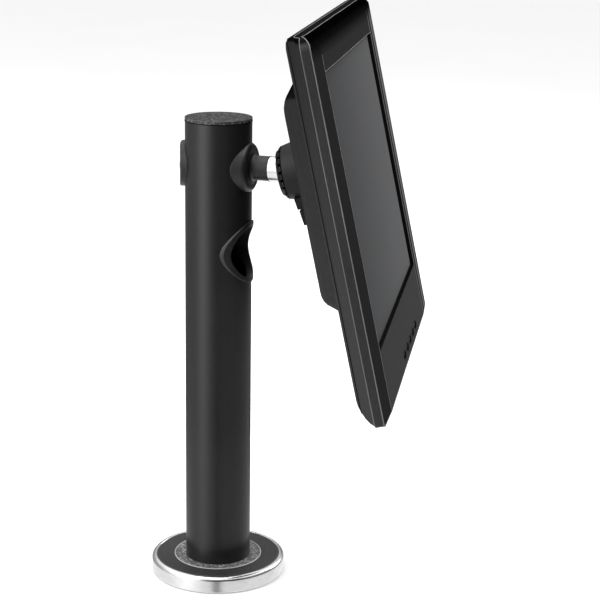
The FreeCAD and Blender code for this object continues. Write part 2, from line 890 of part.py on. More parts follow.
def make_front_bezel():
    body = new_body("front_bezel", head_frame)
    pad(body, outline(body, "XZ_Plane", display_outline(), "seam_depth"), "front_depth - seam_depth")
    round_edges(body, 11, lambda edge: along_depth(edge) and edge.BoundBox.ZMin > 0)
    round_edges(body, 3, lambda edge: along_depth(edge) and edge.BoundBox.ZMax < -170)
    for side in (-1, 1):
        slope = outline(body, "XY_Plane", [
            (f"{side} * screen_half_width", "-front_depth"),
            (f"{side} * (display_half_width + 2)", "-rim_depth"),
            (f"{side} * (display_half_width + 2)", "-front_depth - 2"),
            (f"{side} * screen_half_width", "-front_depth - 2"),
        ])
        cut(body, slope)
    add_brow(body)
    hollow = rounded(
        body, "XZ_Plane", display_outline("shell_wall"), 2, 9, "seam_depth - 1"
    )
    cut(body, hollow, "rim_depth - seam_depth - 3.4 + 1")
    seat = screen_sketch(body, "glass_border + gap", "seam_depth - 1")
    cut(body, seat, "front_depth - screen_recess + gasket_thickness - seam_depth + 1")
    cut(body, screen_sketch(body, "0"))
    cut(body, key_sketch(body, "gap"))


def add_brow(body):
    """Rounds the bezel's top edge with a quarter of a tall ellipse."""
    sketch = new_sketch(body, "YZ_Plane")
    front, top = -value("front_depth"), value("display_top")
    reach, rise = 8.2, 16
    centre = FreeCAD.Vector(front + reach, top - rise, 0)
    up = centre + FreeCAD.Vector(0, rise, 0)
    forward = centre - FreeCAD.Vector(reach, 0, 0)
    curve = Part.Ellipse(up, forward, centre)
    sketch.addGeometry(Part.ArcOfEllipse(curve, 0, math.pi / 2), False)
    start = sketch.getPoint(0, 1)
    end = sketch.getPoint(0, 2)
    beyond = FreeCAD.Vector(front - 3, top + 3, 0)
    path = [
        end,
        FreeCAD.Vector(beyond.x, end.y, 0),
        beyond,
        FreeCAD.Vector(start.x, beyond.y, 0),
        start,
    ]
    for one, other in zip(path, path[1:]):
        sketch.addGeometry(Part.LineSegment(one, other), False)
    cut(body, sketch)


def screen_sketch(body, grow, lift=0):
    """The screen's opening, or a plate that much bigger all round."""
    side = f"screen_half_width + {grow}"
    low = f"-screen_drop - screen_half_height - ({grow})"
    high = f"-screen_drop + screen_half_height + {grow}"
    return outline(body, "XZ_Plane", corners(f"-({side})", side, low, high), lift)


KEY_COUNT = 5


def key_centre(index):
    return f"{3 - index} * key_pitch + 3"


def key_sketch(body, grow, lift=0, only=None):
    """Oval key openings along the lower rail, near the right-hand end."""
    sketch = new_sketch(body, "XZ_Plane", lift)
    wanted = range(KEY_COUNT) if only is None else [only]
    for index in wanted:
        add_oval(sketch, key_centre(index), "-key_drop", grow)
    return sketch


def add_oval(sketch, x, y, grow):
    """A slot shape with half-round ends."""
    radius = value(f"key_half_height + {grow}")
    reach = value("key_half_length - key_half_height")
    centre = FreeCAD.Vector(value(x), value(y), 0)
    first = sketch.GeometryCount
    up = FreeCAD.Vector(0, radius, 0)
    across = FreeCAD.Vector(reach, 0, 0)
    normal = FreeCAD.Vector(0, 0, 1)
    right = Part.Circle(centre + across, normal, radius)
    left = Part.Circle(centre - across, normal, radius)
    quarter = math.pi / 2
    sketch.addGeometry(Part.LineSegment(centre - across - up, centre + across - up), False)
    sketch.addGeometry(Part.ArcOfCircle(right, -quarter, quarter), False)
    sketch.addGeometry(Part.LineSegment(centre + across + up, centre - across + up), False)
    sketch.addGeometry(Part.ArcOfCircle(left, quarter, 3 * quarter), False)
    joins = [(0, 2, 1, 1), (1, 2, 2, 1), (2, 2, 3, 1), (3, 2, 0, 1)]
    for one, end, other, start in joins:
        sketch.addConstraint(
            Sketcher.Constraint("Coincident", first + one, end, first + other, start)
        )
    pin_point(sketch, first + 1, 3, f"{x} + key_half_length - key_half_height", y)
    pin_point(sketch, first + 3, 3, f"{x} - key_half_length + key_half_height", y)
    left = f"{x} - key_half_length + key_half_height"
    right = f"{x} + key_half_length - key_half_height"
    pin_point(sketch, first, 1, left, f"{y} - key_half_height - {grow}")
    pin_point(sketch, first + 2, 1, right, f"{y} + key_half_height + {grow}")


def make_key(index):
    """One oval key with a wider foot that keeps it behind the bezel."""
    body = new_body(f"key_{index + 1}", head_frame)
    foot = outline(body, "XZ_Plane", corners(
        f"{key_centre(index)} - 9", f"{key_centre(index)} + 9", "-key_drop - 5", "-key_drop + 5"
    ), "rim_depth - 4.8")
    pad(body, foot, 1.2)
    pad(body, key_sketch(body, "0", "rim_depth - 3.6", index), "front_depth + 0.6 - (rim_depth - 3.6)")
    round_edges(body, 0.4, lambda edge: near(edge.BoundBox.YMax, -value("front_depth") - 0.6))


def make_key_board():
    body = new_body("key_board", head_frame)
    left = f"{key_centre(KEY_COUNT - 1)} - 14"
    right = f"{key_centre(0)} + 14"
    board = outline(body, "XZ_Plane", corners(left, right, "-178", "-166"), "seam_depth - 2.5")
    pad(body, board, 1.6)
    switches = new_sketch(body, "XZ_Plane", "seam_depth - 0.9")
    for index in range(KEY_COUNT):
        x = key_centre(index)
        add_outline(switches, corners(f"{x} - 3", f"{x} + 3", "-key_drop - 3", "-key_drop + 3"))
    pad(body, switches, 2.6)


def make_touch_glass():
    body = new_body("touch_glass", head_frame)
    back = "front_depth - screen_recess - glass_thickness"
    pad(body, screen_sketch(body, "glass_border", back), "glass_thickness")


def make_bezel_gasket():
    """A thin frame of foam between the glass and the bezel's lip."""
    body = new_body("bezel_gasket", head_frame)
    start = "front_depth - screen_recess + 0.02"
    pad(body, screen_sketch(body, "glass_border", start), "gasket_thickness - 0.04")
    cut(body, screen_sketch(body, "0.6"))


def panel_outline(grow="0"):
    """The liquid crystal module's outline, or that much bigger."""
    low = f"-screen_drop - 127 - ({grow})"
    return corners(f"-163 - ({grow})", f"163 + {grow}", low, f"-screen_drop + 127 + {grow}")


def make_display_panel():
    body = new_body("lcd_panel", head_frame)
    pad(body, outline(body, "XZ_Plane", panel_outline(), "back_depth + 6.6"), 9.8)


def make_panel_tray():
    """The pressed steel tray that holds the panel and carries the boards."""
    body = new_body("panel_tray", head_frame)
    start = "back_depth + 5.3"
    pad(body, outline(body, "XZ_Plane", panel_outline("1.3"), start), 8)
    cut(body, outline(body, "XZ_Plane", panel_outline("0.3"), "back_depth + 6.3"), 12)


def board(label, left, right, bottom, top, depth, blocks):
    """A circuit board with its tallest components standing towards the back."""
    body = new_body(label, head_frame)
    pad(body, outline(body, "XZ_Plane", corners(left, right, bottom, top), depth), 1.6)
    for x, y, width, tall, rise in blocks:
        sketch = outline(body, "XZ_Plane", corners(x, x + width, y, y + tall), f"{depth} - {rise}")
        pad(body, sketch, rise)
    return body


def make_boards():
    depth = "back_depth - 5"
    board("main_board", -70, 60, -90, 10, depth, [
        (-40, -50, 32, 32, 2), (10, -40, 20, 14, 2), (30, -10, 14, 14, 6), (-60, -20, 12, 12, 8),
    ])
    board("power_board", 66, 106, -88, 40, depth, [
        (72, -60, 24, 28, 12), (74, -20, 20, 20, 10), (76, 14, 14, 14, 9),
    ])
    board("touch_board", -104, -78, -60, 10, depth, [(-98, -40, 12, 12, 2)])


def standoff_places():
    return [
        ("-64", "-84"), ("-64", "4"), ("54", "-84"), ("54", "4"),
        ("69", "-80"), ("103", "36"), ("-101", "-56"), ("-81", "6"),
    ]


def make_board_standoffs():
    """Hexagon-like spacers from the tray's back to the boards."""
    body = new_body("board_standoffs", head_frame)
    start = "back_depth - 5 + 1.6"
    spacers = circles(body, "XZ_Plane", standoff_places(), 2.6, start)
    pad(body, spacers, "5.3 + 5 - 1.6")


def make_board_screws():
    body = new_body("board_screws", head_frame)
    start = "back_depth - 5 - 1.6"
    pad(body, circles(body, "XZ_Plane", standoff_places(), 2.4, start), 1.6)


def make_io_connectors():
    """The sockets that look down through the window under the hump."""
    body = new_body("io_connectors", head_frame)
    back = "back_depth - 5 - 9"
    for left, width in ((-56, 31), (-18, 14), (2, 16), (26, 9)):
        block = outline(body, "XZ_Plane", corners(left, left + width, -97, -80), back)
        pad(body, block, 8.9)


def make_panel_cable():
    """The flat cable from the main board round to the panel."""
    body = new_body("panel_cable", head_frame)
    side = outline(body, "YZ_Plane", [
        ("-back_depth + 3.35", 4),
        ("-back_depth + 3.35", 38),
        ("-back_depth - 5.2", 38),
        ("-back_depth - 5.2", 37),
        ("-back_depth + 2.35", 37),
        ("-back_depth + 2.35", 4),
    ], -20)
    pad(body, side, 24)


def make_everything():
    make_base_pad()
    make_base_flange()
    make_foot_screws()
    make_trim_ring()
    make_cover_disc()
    make_pole_foot()
    make_seat_ring()
    make_pole_tube()
    make_pole_cap()
    make_cable_grommet()
    make_rear_saddle()
    make_arm_bolt()
    make_arm_boss()
    make_ball_stud()
    make_ball_liner()
    make_pressure_cup()
    make_adjusting_ring()
    make_head_housing()
    make_release_latch()
    make_wave_spring()
    make_vesa_plate()
    make_vesa_screws()
    make_housing_screws()
    make_rear_cover()
    make_mid_frame()
    make_shell_screws()
    make_front_bezel()
    for index in range(KEY_COUNT):
        make_key(index)
    make_key_board()
    make_touch_glass()
    make_bezel_gasket()
    make_display_panel()
    make_panel_tray()
    make_boards()
    make_board_standoffs()
    make_board_screws()
    make_io_connectors()
    make_panel_cable()


def check_document():
    """Stops if any object failed or any sub-part is empty or unsound."""
    doc.recompute()
    failed = [item.Name for item in doc.Objects if {"Invalid", "Error"} & set(item.State)]
    for node in nodes:
        if node.Shape.isNull() or not node.Shape.isValid() or not node.Shape.Solids:
            failed.append(node.Label)
    if failed:
        raise RuntimeError("these failed: " + ", ".join(failed))


def write_parts():
    os.makedirs("parts", exist_ok=True)
    for node in nodes:
        node.Shape.exportStep(f"parts/{node.Label}.step")


fill_sheet()
make_everything()
check_document()
write_parts()
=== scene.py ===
import json
import math

import bmesh
import bpy
from mathutils import Matrix, Vector


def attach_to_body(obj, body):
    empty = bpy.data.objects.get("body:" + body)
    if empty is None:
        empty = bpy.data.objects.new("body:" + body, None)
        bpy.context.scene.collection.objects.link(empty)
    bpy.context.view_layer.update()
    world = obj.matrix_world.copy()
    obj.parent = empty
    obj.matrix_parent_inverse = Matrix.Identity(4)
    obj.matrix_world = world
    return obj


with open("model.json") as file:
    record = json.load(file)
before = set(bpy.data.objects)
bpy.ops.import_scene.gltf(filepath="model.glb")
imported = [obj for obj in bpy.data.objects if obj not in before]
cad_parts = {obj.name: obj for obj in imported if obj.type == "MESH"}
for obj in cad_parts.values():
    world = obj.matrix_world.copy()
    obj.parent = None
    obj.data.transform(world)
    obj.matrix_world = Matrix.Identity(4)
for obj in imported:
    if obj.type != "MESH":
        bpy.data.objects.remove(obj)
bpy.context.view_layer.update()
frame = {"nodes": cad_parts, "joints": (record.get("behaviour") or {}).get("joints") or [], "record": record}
NODES = frame["nodes"]


# ---------------------------------------------------------------- node helpers


def new_material(name):
    """An empty node material and its tree."""
    material = bpy.data.materials.new(name)
    material.use_nodes = True
    material.node_tree.nodes.clear()
    return material


def put(socket, value):
    """Links a socket, or sets its plain value."""
    if isinstance(value, bpy.types.NodeSocket):
        socket.id_data.links.new(value, socket)
    elif isinstance(value, tuple) and socket.type == "RGBA" and len(value) == 3:
        socket.default_value = (*value, 1)
    else:
        socket.default_value = value


def add(tree, kind, inputs=None, **settings):
    """A new node with its settings and inputs."""
    node = tree.nodes.new("ShaderNode" + kind)
    for key, value in settings.items():
        setattr(node, key, value)
    for key, value in (inputs or {}).items():
        put(node.inputs[key], value)
    return node


def maths(tree, operation, first, second=0.0, clamp=False):
    """One sum on numbers."""
    node = add(tree, "Math", {0: first, 1: second}, operation=operation, use_clamp=clamp)
    return node.outputs[0]


def vector(tree, operation, first, second=(0, 0, 0)):
    """One sum on vectors."""
    node = add(tree, "VectorMath", {0: first, 1: second}, operation=operation)
    return node.outputs["Value" if operation in ("DOT_PRODUCT", "LENGTH") else "Vector"]


def stretch(tree, value, low, high, new_low=0.0, new_high=1.0):
    """Maps a number's range to another, held at both ends."""
    inputs = {"Value": value, "From Min": low, "From Max": high}
    inputs.update({"To Min": new_low, "To Max": new_high})
    return add(tree, "MapRange", inputs).outputs["Result"]


def mixed(tree, factor, first, second):
    """A blend of two colours."""
    node = add(tree, "Mix", data_type="RGBA")
    put(node.inputs["Factor"], factor)
    put(node.inputs[6], first)
    put(node.inputs[7], second)
    return node.outputs[2]


def noise(tree, place, scale, detail=3.0, roughness=0.55):
    """Soft noise, 0 to 1."""
    inputs = {"Vector": place, "Scale": scale, "Detail": detail, "Roughness": roughness}
    return add(tree, "TexNoise", inputs).outputs["Fac"]


def cells(tree, place, scale):
    """Distance to the nearest cell centre, for pebbled grain."""
    inputs = {"Vector": place, "Scale": scale}
    return add(tree, "TexVoronoi", inputs).outputs["Distance"]


def squeezed(tree, place, factors):
    """Coordinates scaled along each axis, so that noise turns into streaks."""
    return vector(tree, "MULTIPLY", place, factors)


def own_place(tree):
    """Coordinates that stay with the piece when it moves."""
    return add(tree, "TexCoord").outputs["Object"]


def edge_mask(tree, radius):
    """Near 1 along convex and concave edges, 0 on open faces, and the rounded normal."""
    rounded = add(tree, "Bevel", {"Radius": radius}, samples=6).outputs["Normal"]
    flat = add(tree, "NewGeometry").outputs["Normal"]
    match = vector(tree, "DOT_PRODUCT", rounded, flat)
    return stretch(tree, match, 0.995, 0.86), rounded


def around(tree, place):
    """Radius, height and angle round the Z axis, for work turned on a lathe."""
    parts = add(tree, "SeparateXYZ", {0: place})
    flat = add(tree, "CombineXYZ", {0: parts.outputs[0], 1: parts.outputs[1]}).outputs[0]
    radius = vector(tree, "LENGTH", flat)
    angle = maths(tree, "ARCTAN2", parts.outputs[1], parts.outputs[0])
    return radius, parts.outputs[2], angle


def finish_shader(material, colour, rough, normal, **more):
    """The principled shader at the end of a material."""
    tree = material.node_tree
    shader = add(tree, "BsdfPrincipled")
    put(shader.inputs["Base Color"], colour)
    put(shader.inputs["Roughness"], rough)
    put(shader.inputs["Normal"], normal)
    for key, value in more.items():
        put(shader.inputs[key.replace("_", " ")], value)
    out = add(tree, "OutputMaterial")
    tree.links.new(shader.outputs[0], out.inputs["Surface"])
    return material


# ------------------------------------------------------------------- materials


# the black that painted shade turns colours towards
PAINTED_SHADE_BLACK = (0.0004, 0.0004, 0.0004)


def scratches(tree, place, density):
    """Thin, broken, faint lines in two directions."""
    one = noise(tree, squeezed(tree, place, (14, 420, 60)), 2.2, 2.0)
    two = noise(tree, squeezed(tree, place, (380, 22, 240)), 1.7, 2.0)
    lines = maths(tree, "MAXIMUM", stretch(tree, one, 0.69, 0.75), stretch(tree, two, 0.70, 0.76))
    patches = stretch(tree, noise(tree, place, 22, 2.0), 0.62 - density, 0.72)
    return maths(tree, "MULTIPLY", lines, patches)


def facing_share(tree):
    """1 where a face looks at the viewer, 0 where it's seen edge on."""
    here = add(tree, "NewGeometry")
    return vector(tree, "DOT_PRODUCT", here.outputs["Normal"], here.outputs["Incoming"])


def weathered(tree, tone, worn, cloud, fine, wear, lines):
    """Cloudy tone with worn colour on the grain's tops, the edges and the scratches."""
    dark = tuple(0.72 * c for c in tone)
    light = tuple(1.3 * c for c in tone)
    colour = mixed(tree, stretch(tree, cloud, 0.3, 0.7), dark, light)
    colour = mixed(tree, stretch(tree, fine, 0.45, 0.75, 0.0, 0.35), colour, worn)
    colour = mixed(tree, maths(tree, "MULTIPLY", wear, 0.75), colour, worn)
    return mixed(tree, maths(tree, "MULTIPLY", lines, 0.5), colour, worn)


def uneven_gloss(tree, rough, cloud, fine, wear):
    """Roughness that varies with the cloud and the grain, smoother where it's rubbed."""
    gloss = stretch(tree, cloud, 0.3, 0.7, rough[0], rough[1])
    gloss = maths(tree, "ADD", gloss, stretch(tree, fine, 0.3, 0.7, -0.04, 0.05))
    return maths(tree, "SUBTRACT", gloss, maths(tree, "MULTIPLY", wear, 0.08), clamp=True)


def grain_bump(tree, place, grain, depth, fine, lines, rounded):
    """Pebbled grain with scratches cut into it."""
    pebble = maths(tree, "MULTIPLY", cells(tree, place, 0.8 / grain), 0.7)
    height = maths(tree, "ADD", pebble, maths(tree, "MULTIPLY", fine, 0.6))
    height = maths(tree, "SUBTRACT", height, maths(tree, "MULTIPLY", lines, 0.5))
    inputs = {"Height": height, "Distance": depth, "Normal": rounded, "Strength": 0.85}
    return add(tree, "Bump", inputs).outputs[0]


def with_painted_shade(tree, kept, colour, level):
    """Painted shade: the colour and the reflection with only a share of each kept, the rest black."""
    return mixed(tree, kept, PAINTED_SHADE_BLACK, colour), maths(tree, "MULTIPLY", level, kept)


def upward_share(tree, start, end, rest):
    """What faces that look up keep under painted shade: all below start, rest above end."""
    normal = add(tree, "NewGeometry").outputs["Normal"]
    upward = add(tree, "SeparateXYZ", {0: normal}).outputs[2]
    return stretch(tree, upward, start, end, 1.0, rest)


def moulded(name, tone, worn, rough, grain, depth, bevel=0.0006, marks=0.12, shine=(0.5, 0.5),
            grazing_tone_paint=None, top_painted_shade=None, flecks=0.0, painted_shade_mask=None):
    """Painted metal or moulded plastic: grain, cloudy tone, rubbed edges, faint scratches.

    tone and worn are colours, rough is (smoothest, roughest), grain is the size of one pebble
    and depth its height, both in metres. shine is how much it reflects edge on and face on.
    The grazing tones give a painted tone, standing in for reflection and shade, to each area where it's seen
    edge on; it's matt there.
    The top shade paints shade on faces that look up, making them darker: where that starts and ends, and
    what's left. flecks is the share of pale specks, and the shade mask gives the share of painted black
    shade, as in recesses.
    """
    material = new_material(name)
    tree = material.node_tree
    place = own_place(tree)
    edges, rounded = edge_mask(tree, bevel)
    cloud = noise(tree, place, 9, 4.0)
    fine = noise(tree, place, 1 / grain, 4.0, 0.6)
    rub = stretch(tree, noise(tree, place, 140, 4.0), 0.38, 0.62, 0.35, 1.0)
    wear = maths(tree, "MULTIPLY", edges, rub)
    lines = scratches(tree, place, marks)
    colour = weathered(tree, tone, worn, cloud, fine, wear, lines)
    if flecks:
        specks = stretch(tree, noise(tree, place, 0.45 / grain, 3.0), 0.52, 0.62, 0.0, flecks)
        colour = mixed(tree, specks, colour, worn)
    facing = facing_share(tree)
    level = stretch(tree, facing, 0.20, 0.5, shine[0], shine[1])
    # painted tones stand in for reflection and shade where the face is seen edge on
    if grazing_tone_paint is not None:
        low_angle = stretch(tree, facing, 0.32, 0.22)
        colour = mixed(tree, low_angle, colour, grazing_tone_paint(tree, place))
        level = maths(tree, "MULTIPLY", level, maths(tree, "SUBTRACT", 1.0, low_angle))
    # painted shade: faces that look up turn darker
    if top_painted_shade is not None:
        colour, level = with_painted_shade(tree, upward_share(tree, *top_painted_shade), colour, level)
    # painted shade: black from a mask of where shade would fall
    if painted_shade_mask is not None:
        kept = maths(tree, "SUBTRACT", 1.0, painted_shade_mask(tree, place))
        colour, level = with_painted_shade(tree, kept, colour, level)
    gloss = uneven_gloss(tree, rough, cloud, fine, wear)
    bump = grain_bump(tree, place, grain, depth, fine, lines, rounded)
    return finish_shader(material, colour, gloss, bump, Specular_IOR_Level=level)


def turned_metal(name, tone, rough, axis=None, bevel=0.0005, fine=2600, **more):
    """Metal finished on a lathe: fine rings, soft stains, bright rubbed edges."""
    material = new_material(name)
    tree = material.node_tree
    place = own_place(tree)
    edges, rounded = edge_mask(tree, bevel)
    radius, height, angle = around(tree, place)
    if axis is None:
        along = add(tree, "CombineXYZ", {0: maths(tree, "MULTIPLY", radius, fine),
                                         1: maths(tree, "MULTIPLY", height, fine),
                                         2: maths(tree, "MULTIPLY", angle, 5)}).outputs[0]
    else:
        run = vector(tree, "DOT_PRODUCT", place, axis)
        along = add(tree, "CombineXYZ", {0: maths(tree, "MULTIPLY", run, fine)}).outputs[0]
    rings = noise(tree, along, 1.0, 3.0)
    stain = noise(tree, place, 30, 4.0)
    lines = scratches(tree, place, 0.15)
    dull = tuple(0.82 * c for c in tone)
    colour = mixed(tree, stretch(tree, stain, 0.35, 0.65), dull, tone)
    colour = mixed(tree, stretch(tree, rings, 0.35, 0.75, 0.0, 0.25), colour, (0.55, 0.56, 0.58))
    gloss = stretch(tree, rings, 0.3, 0.7, rough[0], rough[1])
    gloss = maths(tree, "ADD", gloss, stretch(tree, stain, 0.4, 0.7, 0.0, 0.08))
    gloss = maths(tree, "SUBTRACT", gloss, maths(tree, "MULTIPLY", edges, 0.06), clamp=True)
    height = maths(tree, "SUBTRACT", rings, lines)
    bump = add(tree, "Bump", {"Height": height, "Distance": 0.00003, "Normal": rounded})
    bump.inputs["Strength"].default_value = 0.6
    return finish_shader(material, colour, gloss, bump.outputs[0], Metallic=1.0, **more)


def coated_glass(name):
    """Anti-glare touch glass over a dark panel: frosted, with a painted sheen in its colour that grows at
    low angles.
    """
    material = new_material(name)
    tree = material.node_tree
    place = own_place(tree)
    edges, rounded = edge_mask(tree, 0.0006)
    smudge = noise(tree, squeezed(tree, place, (1, 1, 0.6)), 14, 3.0, 0.5)
    sparkle = noise(tree, place, 5200, 2.0)
    facing = facing_share(tree)
    # painted sheen: the colour grows paler as the glass is seen more edge on
    sheen = stretch(tree, facing, 0.180, 0.105)
    deep = mixed(tree, smudge, (0.020, 0.0205, 0.0212), (0.025, 0.0255, 0.0262))
    colour = mixed(tree, sheen, deep, (0.108, 0.109, 0.111))
    colour = mixed(tree, edges, colour, (0.09, 0.095, 0.1))
    gloss = stretch(tree, smudge, 0.35, 0.7, 0.30, 0.36)
    bump = add(tree, "Bump", {"Height": sparkle, "Distance": 0.000012, "Normal": rounded})
    level = stretch(tree, facing, 0.22, 0.6, 0.0, 0.5)
    return finish_shader(material, colour, gloss, bump.outputs[0], Specular_IOR_Level=level)


def circuit(name):
    """Solder mask with copper tracks and pale dots."""
    material = new_material(name)
    tree = material.node_tree
    place = own_place(tree)
    edges, rounded = edge_mask(tree, 0.0003)
    track = add(tree, "TexBrick", {"Vector": place, "Scale": 90.0}).outputs["Fac"]
    dots = stretch(tree, cells(tree, place, 260), 0.16, 0.10)
    colour = mixed(tree, noise(tree, place, 40), (0.006, 0.06, 0.022), (0.01, 0.10, 0.04))
    colour = mixed(tree, maths(tree, "MULTIPLY", track, 0.5), colour, (0.03, 0.2, 0.07))
    colour = mixed(tree, dots, colour, (0.6, 0.58, 0.5))
    colour = mixed(tree, edges, colour, (0.25, 0.24, 0.12))
    bump = add(tree, "Bump", {"Height": track, "Distance": 0.00005, "Normal": rounded})
    return finish_shader(material, colour, stretch(tree, dots, 0, 1, 0.38, 0.2), bump.outputs[0])


def soft_foam(name):
    """Closed-cell foam with small open pores."""
    material = new_material(name)
    tree = material.node_tree
    place = own_place(tree)
    pores = cells(tree, place, 1500)
    colour = mixed(tree, pores, (0.012, 0.012, 0.013), (0.05, 0.05, 0.052))
    bump = add(tree, "Bump", {"Height": pores, "Distance": 0.0002})
    return finish_shader(material, colour, stretch(tree, pores, 0, 1, 0.75, 0.95), bump.outputs[0])


def joint_row(name):
    for row in frame["joints"]:
        if row["name"] == name:
            return row
    raise KeyError(name)


def head_space():
    """The display's own axes: across, out of the screen, and up, from the ball's centre."""
    out = Vector(joint_row("turn")["axis"]).normalized()
    up = Vector(joint_row("latch_slide")["axis"]).normalized()
    across = up.cross(out).normalized()
    middle = Vector(joint_row("turn")["pos_m"])
    rows = [(across[i], out[i], up[i], middle[i]) for i in range(3)]
    return Matrix((*rows, (0, 0, 0, 1)))


HEAD = head_space()
WORLD = Matrix.Identity(4)
ABOVE_HUMP = 0.11
COVER = [HEAD.inverted() @ corner.co for corner in NODES["rear_cover"].data.vertices]
HUMP_FOOT = min(c.y for c in COVER if c.z > ABOVE_HUMP)
NOTCHES = 20


def along_display(tree, place):
    """A point's distances across, out and up in the display's own axes, for materials."""
    here = vector(tree, "SUBTRACT", place, tuple(HEAD.col[3][:3]))
    return [vector(tree, "DOT_PRODUCT", here, tuple(HEAD.col[i][:3])) for i in range(3)]


def bezel_sheen_and_shade_paint(tree, place):
    """Painted sheen and shade where the bezel is seen edge on: shaded brow and near strip, pale far strip.

    The far strip also has painted shade along its fold and on its outer edge.
    """
    across, _, up = along_display(tree, place)
    near = stretch(tree, across, -0.1532, -0.1538)
    far = stretch(tree, across, 0.1532, 0.1538)
    brow = stretch(tree, up, 0.106, 0.117)
    # painted tone, darker towards the top as the light falls
    painted_tint = mixed(tree, stretch(tree, up, -0.15, 0.10), (0.034, 0.034, 0.035), (0.019, 0.019, 0.0195))
    painted_tint = mixed(tree, near, painted_tint, (0.013, 0.013, 0.0134))
    painted_tint = mixed(tree, far, painted_tint, (0.082, 0.082, 0.083))
    fold = maths(tree, "ABSOLUTE", maths(tree, "SUBTRACT", across, 0.1652))
    painted_tint = mixed(tree, stretch(tree, fold, 0.0062, 0.0048), painted_tint, (0.006, 0.006, 0.006))
    painted_tint = mixed(tree, stretch(tree, across, 0.1862, 0.1875), painted_tint, (0.006, 0.006, 0.006))
    painted_tint = mixed(tree, brow, painted_tint, (0.003, 0.003, 0.003))
    return painted_tint


def shell_shade(tree, place):
    """Painted shade, a little darker towards the display's top."""
    up = along_display(tree, place)[2]
    return stretch(tree, up, -0.08, 0.12, 0.08, 0.42)


def hump_slope_painted_shade(tree, place):
    """Painted shade, dark on the slope at the top of the hump, which faces the ceiling."""
    _, out, up = along_display(tree, place)
    behind = stretch(tree, out, HUMP_FOOT - 0.0004, HUMP_FOOT - 0.0016)
    slope = maths(tree, "MULTIPLY", behind, stretch(tree, up, 0.0725, 0.0765, 0.0, 0.88))
    return maths(tree, "MAXIMUM", slope, shell_shade(tree, place))


def notch_painted_shade(tree, place):
    """Painted shade, black in the grip notches round the adjusting ring."""
    across, _, up = along_display(tree, place)
    first_notch = math.radians(9)
    angle = maths(tree, "SUBTRACT", maths(tree, "ARCTAN2", up, across), first_notch)
    wave = maths(tree, "COSINE", maths(tree, "MULTIPLY", angle, NOTCHES))
    flat = add(tree, "CombineXYZ", {0: across, 1: up}).outputs[0]
    rim = stretch(tree, vector(tree, "LENGTH", flat), 0.0212, 0.0222)
    return maths(tree, "MULTIPLY", rim, stretch(tree, wave, 0.30, 0.55))


BLACK = (0.0050, 0.0050, 0.0053)
RUBBED = (0.045, 0.046, 0.049)
SHELL = (0.0058, 0.0058, 0.0062)
SHELL_WORN = (0.10, 0.10, 0.107)

